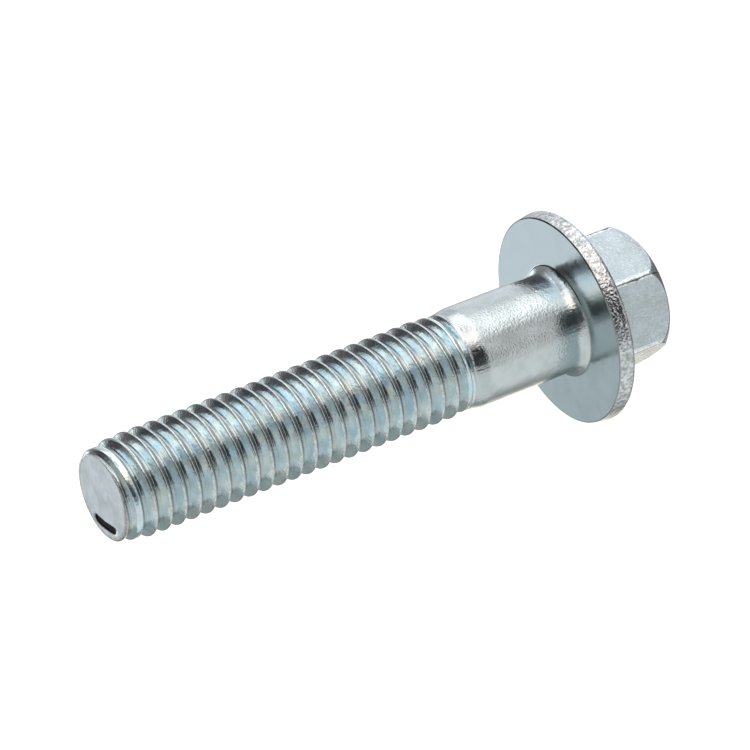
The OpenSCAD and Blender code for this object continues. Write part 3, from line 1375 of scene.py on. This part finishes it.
@dataclass(frozen=True)
class SoftPatch:
    """A soft panel or shade of the studio, seen from the bolt. Angles are in degrees."""

    name: str
    azimuth: float
    elevation: float
    half_width: float
    half_height: float
    tilt: float
    soft: float
    colour: Colour

    def mask(self, t: Tree, way: Value) -> NodeSocket:
        """Adds the nodes that tell how much of the panel lies in a direction.

        Args:
            t: The world's tree.
            way: The direction.

        Returns:
            The share, from 0 to 1.
        """
        front, side, rise = directions(self.azimuth, self.elevation, self.tilt)
        parts = []
        for axis, half in ((side, self.half_width), (rise, self.half_height)):
            dot = t.vector("DOT_PRODUCT", way, axis)
            across = t.math("DIVIDE", dot, math.sin(math.radians(half)))
            parts.append(t.math("POWER", t.math("ABSOLUTE", across), 2.0))
        reach = t.math("SQRT", t.math("ADD", *parts))
        near = t.math("GREATER_THAN", t.vector("DOT_PRODUCT", way, front), 0.0)
        return t.math("MULTIPLY", near, t.span(reach, 1 + self.soft, 1 - self.soft))


@dataclass
class Studio:
    """White surround with soft panels, a white floor and the camera. Lengths are in millimetres."""

    level: Colour = (0.8, 0.8, 0.8)
    panels: tuple[SoftPatch, ...] = (
        SoftPatch("room", 60.0, -44.0, 80.0, 80.0, 1.0, 0.8, (0.02, 0.02, 0.02)),
        SoftPatch("camera flag", -82.0, 2.0, 35.0, 24.0, 15.0, 0.35, (0.04, 0.04, 0.04)),
        SoftPatch("upper flag", -74.0, 42.0, 24.0, 38.0, -28.0, 0.5, (0.07, 0.08, 0.09)),
        SoftPatch("main box", -34.0, 9.0, 19.0, 23.0, -17.0, 0.3, (2.3, 2.05, 1.9)),
        SoftPatch("low box", 2.0, -18.0, 44.0, 12.0, 11.0, 0.35, (2.15, 2.15, 2.15)),
        SoftPatch("top box", -5.0, 27.0, 20.0, 16.0, -18.0, 0.3, (1.45, 1.6, 1.65)),
        SoftPatch("far strip", 14.0, 12.0, 34.0, 10.0, 10.0, 0.3, (0.8, 0.9, 1.0)),
        SoftPatch("far flag", 33.0, 38.0, 28.0, 14.0, -18.0, 0.25, (0.02, 0.02, 0.03)),
        SoftPatch("far top", 88.0, 40.0, 47.0, 22.0, -37.0, 0.4, (0.08, 0.07, 0.08)),
        SoftPatch("back spot", 101.0, 17.0, 14.0, 11.0, -14.0, 0.35, (2.35, 2.4, 2.4)),
        SoftPatch("left wall", -152.0, 8.0, 43.0, 48.0, 6.0, 0.3, (0.95, 1.0, 1.0)),
        SoftPatch("low warm", 127.0, -29.0, 12.0, 16.0, -13.0, 0.3, (1.15, 1.1, 0.95)),
        SoftPatch("ceiling", -1.0, 88.0, 30.0, 38.0, -9.0, 0.4, (0.44, 0.48, 0.46)),
        SoftPatch("back flag", 145.0, 11.0, 20.0, 42.0, 23.0, 0.3, (0.34, 0.38, 0.37)),
        SoftPatch("floor light", 50.0, -41.0, 39.0, 25.0, 21.0, 0.55, (1.15, 1.2, 1.25)),
        SoftPatch("face card", 111.0, 26.0, 10.0, 9.0, 0.0, 0.45, (0.66, 0.71, 0.73)),
    )
    floor_size: float = 3000.0
    floor_drop: float = 0.02
    floor_colour: Colour = (0.8, 0.8, 0.8)
    floor_glow: float = 0.8
    camera_place: Point = (145.567, -379.366, 220.41)
    camera_azimuth: float = -69.1639
    camera_elevation: float = 25.8931
    camera_roll: float = -111.0536
    sensor: float = 36.0
    focal_pixels: float = 6054.58
    frame_pixels: int = 750
    shift_pixels: float = 0.5

    def build_world(self) -> None:
        """Makes the surround: white to the camera, softly uneven to the metal."""
        world = bpy.data.worlds.new("surround")
        bpy.context.scene.world = world
        world.use_nodes = True
        t = Tree(world.node_tree)
        way = t.add("ShaderNodeTexCoord").outputs["Generated"]
        path = t.add("ShaderNodeLightPath").outputs
        mirrored = t.math("MAXIMUM", path["Is Glossy Ray"], path["Is Transmission Ray"])
        colour: Value = t.blend(mirrored, self.level, WHITE)
        for panel in self.panels:
            colour = t.blend(panel.mask(t, way), colour, panel.colour)
        seen = t.blend(path["Is Camera Ray"], colour, WHITE)
        light = t.wire("ShaderNodeBackground", {"Color": seen}).outputs[0]
        t.wire("ShaderNodeOutputWorld", {0: light})

    def build_floor(self) -> None:
        """Makes the white floor, which keeps the bolt's faint shadow."""
        half, level = self.floor_size * MM / 2, -self.floor_drop * MM
        mesh = bpy.data.meshes.new("floor")
        corners = [(-half, -half, level), (half, -half, level), (half, half, level), (-half, half, level)]
        mesh.from_pydata(corners, [], [(0, 1, 2, 3)])
        floor = placed("floor", mesh)
        floor.visible_glossy = False
        paper = bpy.data.materials.new("floor_paper")
        paper.use_nodes = True
        t = Tree(paper.node_tree)
        matt = t.wire("ShaderNodeBsdfDiffuse", {"Color": t.rgba(self.floor_colour)})
        seen = t.add("ShaderNodeLightPath").outputs["Is Camera Ray"]
        glow = t.wire("ShaderNodeEmission", {"Strength": t.math("MULTIPLY", seen, self.floor_glow)})
        both = t.wire("ShaderNodeAddShader", {0: matt.outputs[0], 1: glow.outputs[0]})
        t.wire("ShaderNodeOutputMaterial", {0: both.outputs[0]})
        mesh.materials.append(paper)

    def build_camera(self) -> None:
        """Sets up the camera as the photo's was, turned with the bolt."""
        data = bpy.data.cameras.new("camera")
        data.sensor_width = self.sensor
        data.lens = self.focal_pixels / self.frame_pixels * data.sensor_width
        data.shift_y = self.shift_pixels / self.frame_pixels
        camera = placed("camera", data)
        back, right, up = directions(self.camera_azimuth, self.camera_elevation, self.camera_roll)
        turn = Matrix((right, up, back)).transposed().to_4x4()
        camera.matrix_world = Matrix.Translation(Vector(self.camera_place) * MM) @ turn
        bpy.context.scene.camera = camera

    def build(self) -> None:
        """Builds the world, the floor and the camera."""
        self.build_world()
        self.build_floor()
        self.build_camera()
        bpy.context.scene.view_settings.view_transform = "Standard"


def main() -> None:
    """Builds the bolt and the studio."""
    logging.basicConfig(level=logging.INFO, format="%(name)s: %(message)s")
    bolt = Bolt().build()
    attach(bolt, BODY)
    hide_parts(NODE)
    log.info("bolt stands for %s", NODE)
    Studio().build()
    log.info("studio ready")


if __name__ == "__main__":
    main()
